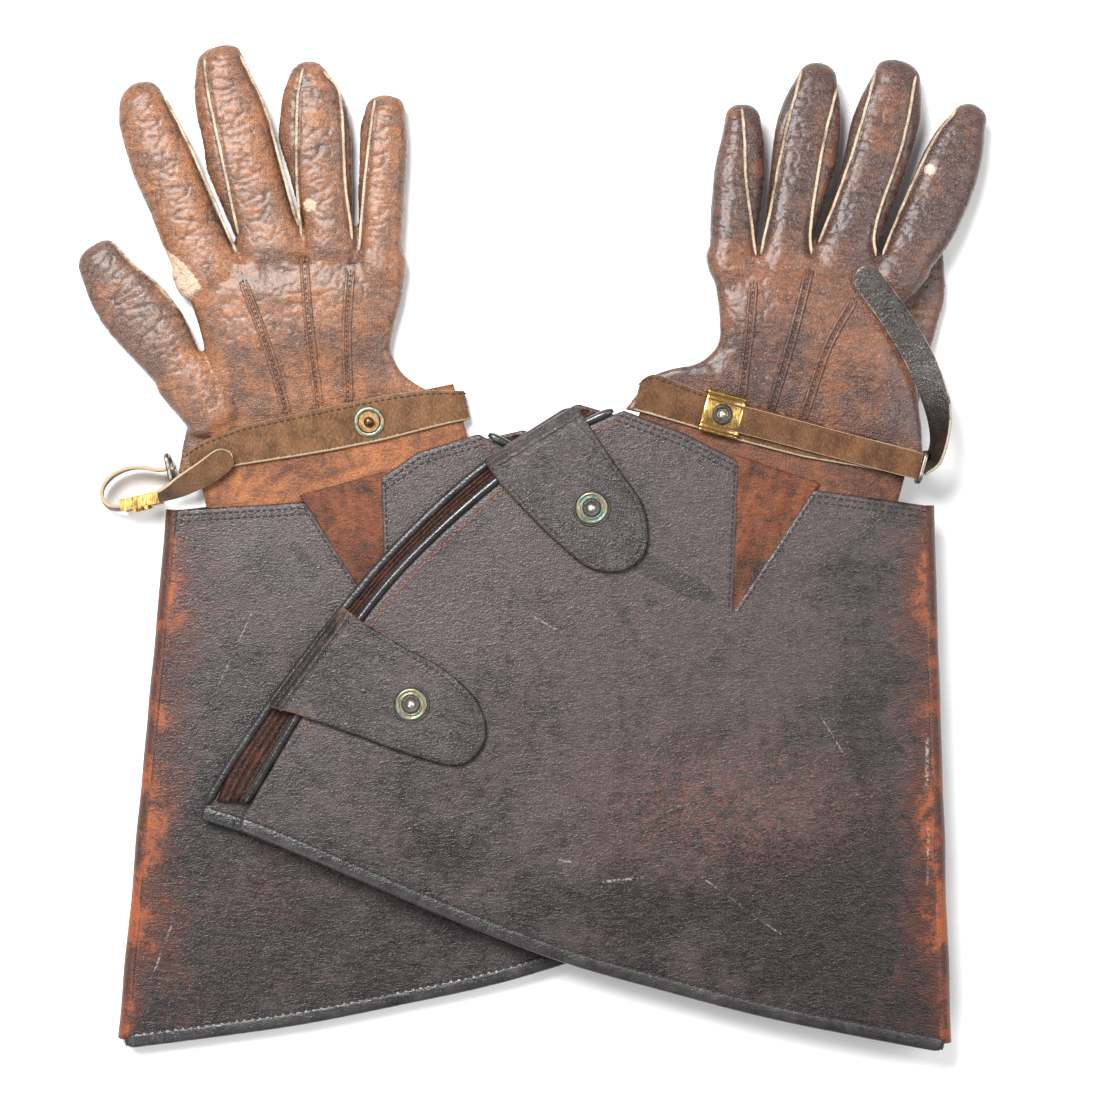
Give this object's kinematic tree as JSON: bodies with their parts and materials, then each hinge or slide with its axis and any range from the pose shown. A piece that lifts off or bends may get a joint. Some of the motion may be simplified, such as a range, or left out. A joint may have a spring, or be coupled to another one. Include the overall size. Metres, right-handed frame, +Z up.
{
  "type": "riding gloves",
  "caption": "Pair of leather gauntlet riding gloves lying flat with crossed flared cuffs, snap tabs, wrist straps and jointed fingers.",
  "frame": {"origin": "middle of the pair's footprint, on the surface it lies on", "axes": "+Z up off the surface, through the backs of the hands; +Y towards the fingertips; +X to the side of the left-hand glove's hand"},
  "size_m": [0.4236, 0.4656, 0.0367],
  "materials": {
    "cuff_leather": "fine grain, worn sheen",
    "edge_leather": "worn",
    "binding_leather": "smooth",
    "piping_leather": "glossy",
    "gusset_leather": "soft",
    "sleeve_leather": "soft",
    "tab_leather": "creased",
    "suede": "suede",
    "strap_leather": "worn",
    "hand_leather": "glossy, creased",
    "fork_leather": "raw edge",
    "brass": "tarnished",
    "stud_metal": "polished by wear",
    "ring_steel": "dull"
  },
  "bodies": {
    "right_cuff": {"right_cuff_front_panel": "cuff_leather", "right_cuff_back_panel": "cuff_leather", "right_side_strip": "edge_leather", "right_hem_binding": "binding_leather", "right_opening_piping": "piping_leather", "right_bellows_gusset": "gusset_leather", "right_wrist_gusset": "gusset_leather", "right_wrist_sleeve": "sleeve_leather", "right_tab_roots": "tab_leather", "right_press_studs": "stud_metal", "right_wrist_band": "suede", "right_keeper_ring": "ring_steel"},
    "right_hand": {"right_hand_back": "hand_leather", "right_hand_palm": "hand_leather"},
    "right_index": {"right_index_stall": "hand_leather", "right_index_fourchette": "fork_leather"},
    "right_middle": {"right_middle_stall": "hand_leather", "right_middle_fourchette": "fork_leather"},
    "right_ring": {"right_ring_stall": "hand_leather", "right_ring_fourchette": "fork_leather"},
    "right_little": {"right_little_stall": "hand_leather", "right_little_fourchette": "fork_leather"},
    "right_thumb": {"right_thumb": "hand_leather"},
    "right_upper_tab": {"right_upper_tab": "tab_leather", "right_upper_tab_socket": "brass"},
    "right_lower_tab": {"right_lower_tab": "tab_leather", "right_lower_tab_socket": "brass"},
    "right_strap": {"right_strap": "strap_leather"},
    "right_slide": {"right_slide_buckle": "brass"},
    "left_cuff": {"left_cuff_front_panel": "cuff_leather", "left_cuff_back_panel": "cuff_leather", "left_side_strip": "edge_leather", "left_hem_binding": "binding_leather", "left_opening_piping": "piping_leather", "left_bellows_gusset": "gusset_leather", "left_wrist_gusset": "gusset_leather", "left_wrist_sleeve": "sleeve_leather", "left_tab_roots": "tab_leather", "left_press_studs": "stud_metal", "left_wrist_band": "suede", "left_keeper_ring": "ring_steel"},
    "left_hand": {"left_hand_back": "hand_leather", "left_hand_palm": "hand_leather"},
    "left_index": {"left_index_stall": "hand_leather", "left_index_fourchette": "fork_leather"},
    "left_middle": {"left_middle_stall": "hand_leather", "left_middle_fourchette": "fork_leather"},
    "left_ring": {"left_ring_stall": "hand_leather", "left_ring_fourchette": "fork_leather"},
    "left_little": {"left_little_stall": "hand_leather", "left_little_fourchette": "fork_leather"},
    "left_thumb": {"left_thumb": "hand_leather"},
    "left_upper_tab": {"left_upper_tab": "tab_leather", "left_upper_tab_socket": "brass"},
    "left_lower_tab": {"left_lower_tab": "tab_leather", "left_lower_tab_socket": "brass"},
    "left_strap": {"left_strap": "strap_leather", "left_slide_buckle": "brass"},
    "left_strap_tail": {"left_strap_tail": "strap_leather"}
  },
  "joints": [
    {"name": "right_wrist", "type": "hinge", "parent": "right_cuff", "child": "right_hand", "pos_m": [-0.09815, 0.06478, 0.0056], "axis": [-0.9778, -0.2096, 0], "range_deg": [-25, 25]},
    {"name": "right_index_bend", "type": "hinge", "parent": "right_hand", "child": "right_index", "pos_m": [-0.15109, 0.12898, 0.0082], "axis": [-0.9359, -0.3522, 0], "range_deg": [-10, 60]},
    {"name": "right_middle_bend", "type": "hinge", "parent": "right_hand", "child": "right_middle", "pos_m": [-0.12234, 0.1408, 0.0082], "axis": [-0.9636, -0.2672, 0], "range_deg": [-10, 60]},
    {"name": "right_ring_bend", "type": "hinge", "parent": "right_hand", "child": "right_ring", "pos_m": [-0.09524, 0.14169, 0.0082], "axis": [-0.9936, -0.1133, 0], "range_deg": [-10, 60]},
    {"name": "right_little_bend", "type": "hinge", "parent": "right_hand", "child": "right_little", "pos_m": [-0.07029, 0.1317, 0.0082], "axis": [-0.9997, 0.0256, 0], "range_deg": [-10, 60]},
    {"name": "right_thumb_bend", "type": "hinge", "parent": "right_hand", "child": "right_thumb", "pos_m": [-0.16114, 0.07799, 0.0072], "axis": [-0.8177, -0.5756, 0], "range_deg": [-10, 40]},
    {"name": "right_upper_tab_open", "type": "hinge", "parent": "right_cuff", "child": "right_upper_tab", "pos_m": [0.01056, 0.02985, 0.0136], "axis": [-0.8198, 0.5726, 0], "range_deg": [0, 115]},
    {"name": "right_lower_tab_open", "type": "hinge", "parent": "right_cuff", "child": "right_lower_tab", "pos_m": [0.10393, -0.07507, 0.0136], "axis": [-0.5486, 0.8361, 0], "range_deg": [0, 115]},
    {"name": "right_strap_swing", "type": "hinge", "parent": "right_cuff", "child": "right_strap", "pos_m": [-0.16821, 0.03483, 0.0126], "axis": [0, 0, -1], "range_deg": [0, 35]},
    {"name": "right_slide_adjust", "type": "slide", "parent": "right_strap", "child": "right_slide", "axis": [-0.9736, -0.2281, 0], "range_m": [-0.002, 0.002]},
    {"name": "left_glove_lift", "type": "slide", "parent": "right_cuff", "child": "left_cuff", "axis": [0, 0, 1], "range_m": [0, 0.25]},
    {"name": "left_wrist", "type": "hinge", "parent": "left_cuff", "child": "left_hand", "pos_m": [0.11444, 0.06355, 0.0226], "axis": [-0.9636, 0.2672, 0], "range_deg": [0, 30]},
    {"name": "left_index_bend", "type": "hinge", "parent": "left_hand", "child": "left_index", "pos_m": [0.17108, 0.12594, 0.01862], "axis": [-0.9211, 0.3892, -0.0113], "range_deg": [0, 40]},
    {"name": "left_middle_bend", "type": "hinge", "parent": "left_hand", "child": "left_middle", "pos_m": [0.14328, 0.13295, 0.01869], "axis": [-0.9642, 0.2652, 0.0002], "range_deg": [-10, 60]},
    {"name": "left_ring_bend", "type": "hinge", "parent": "left_hand", "child": "left_ring", "pos_m": [0.11569, 0.13297, 0.01933], "axis": [-0.9875, 0.157, 0.0098], "range_deg": [-10, 60]},
    {"name": "left_little_bend", "type": "hinge", "parent": "left_hand", "child": "left_little", "pos_m": [0.0906, 0.131, 0.02008], "axis": [-0.9975, 0.0691, 0.0175], "range_deg": [-10, 60]},
    {"name": "left_thumb_bend", "type": "hinge", "parent": "left_hand", "child": "left_thumb", "pos_m": [0.16384, 0.06906, 0.01054], "axis": [-0.9829, 0.1838, 0.0075], "range_deg": [0, 40]},
    {"name": "left_upper_tab_open", "type": "hinge", "parent": "left_cuff", "child": "left_upper_tab", "pos_m": [0.00385, 0.04212, 0.0306], "axis": [-0.8523, -0.523, 0], "range_deg": [0, 115]},
    {"name": "left_lower_tab_open", "type": "hinge", "parent": "left_cuff", "child": "left_lower_tab", "pos_m": [-0.09558, -0.05707, 0.0306], "axis": [-0.5973, -0.802, 0], "range_deg": [0, 115]},
    {"name": "left_strap_unfasten", "type": "hinge", "parent": "left_cuff", "child": "left_strap", "pos_m": [0.1776, 0.0355, 0.0296], "axis": [0.2542, 0.9671, 0], "range_deg": [0, 110]},
    {"name": "left_tail_lift", "type": "hinge", "parent": "left_cuff", "child": "left_strap_tail", "pos_m": [0.1776, 0.0355, 0.0296], "axis": [0.9555, 0.2949, 0], "range_deg": [0, 20]}
  ],
  "couplings": [
    {"joint": "right_upper_tab_open", "follows": "left_glove_lift", "rad_per_m": 8.0275},
    {"joint": "right_lower_tab_open", "follows": "left_glove_lift", "rad_per_m": 8.0275},
    {"joint": "left_thumb_bend", "follows": "left_index_bend", "ratio": 1}
  ]
}
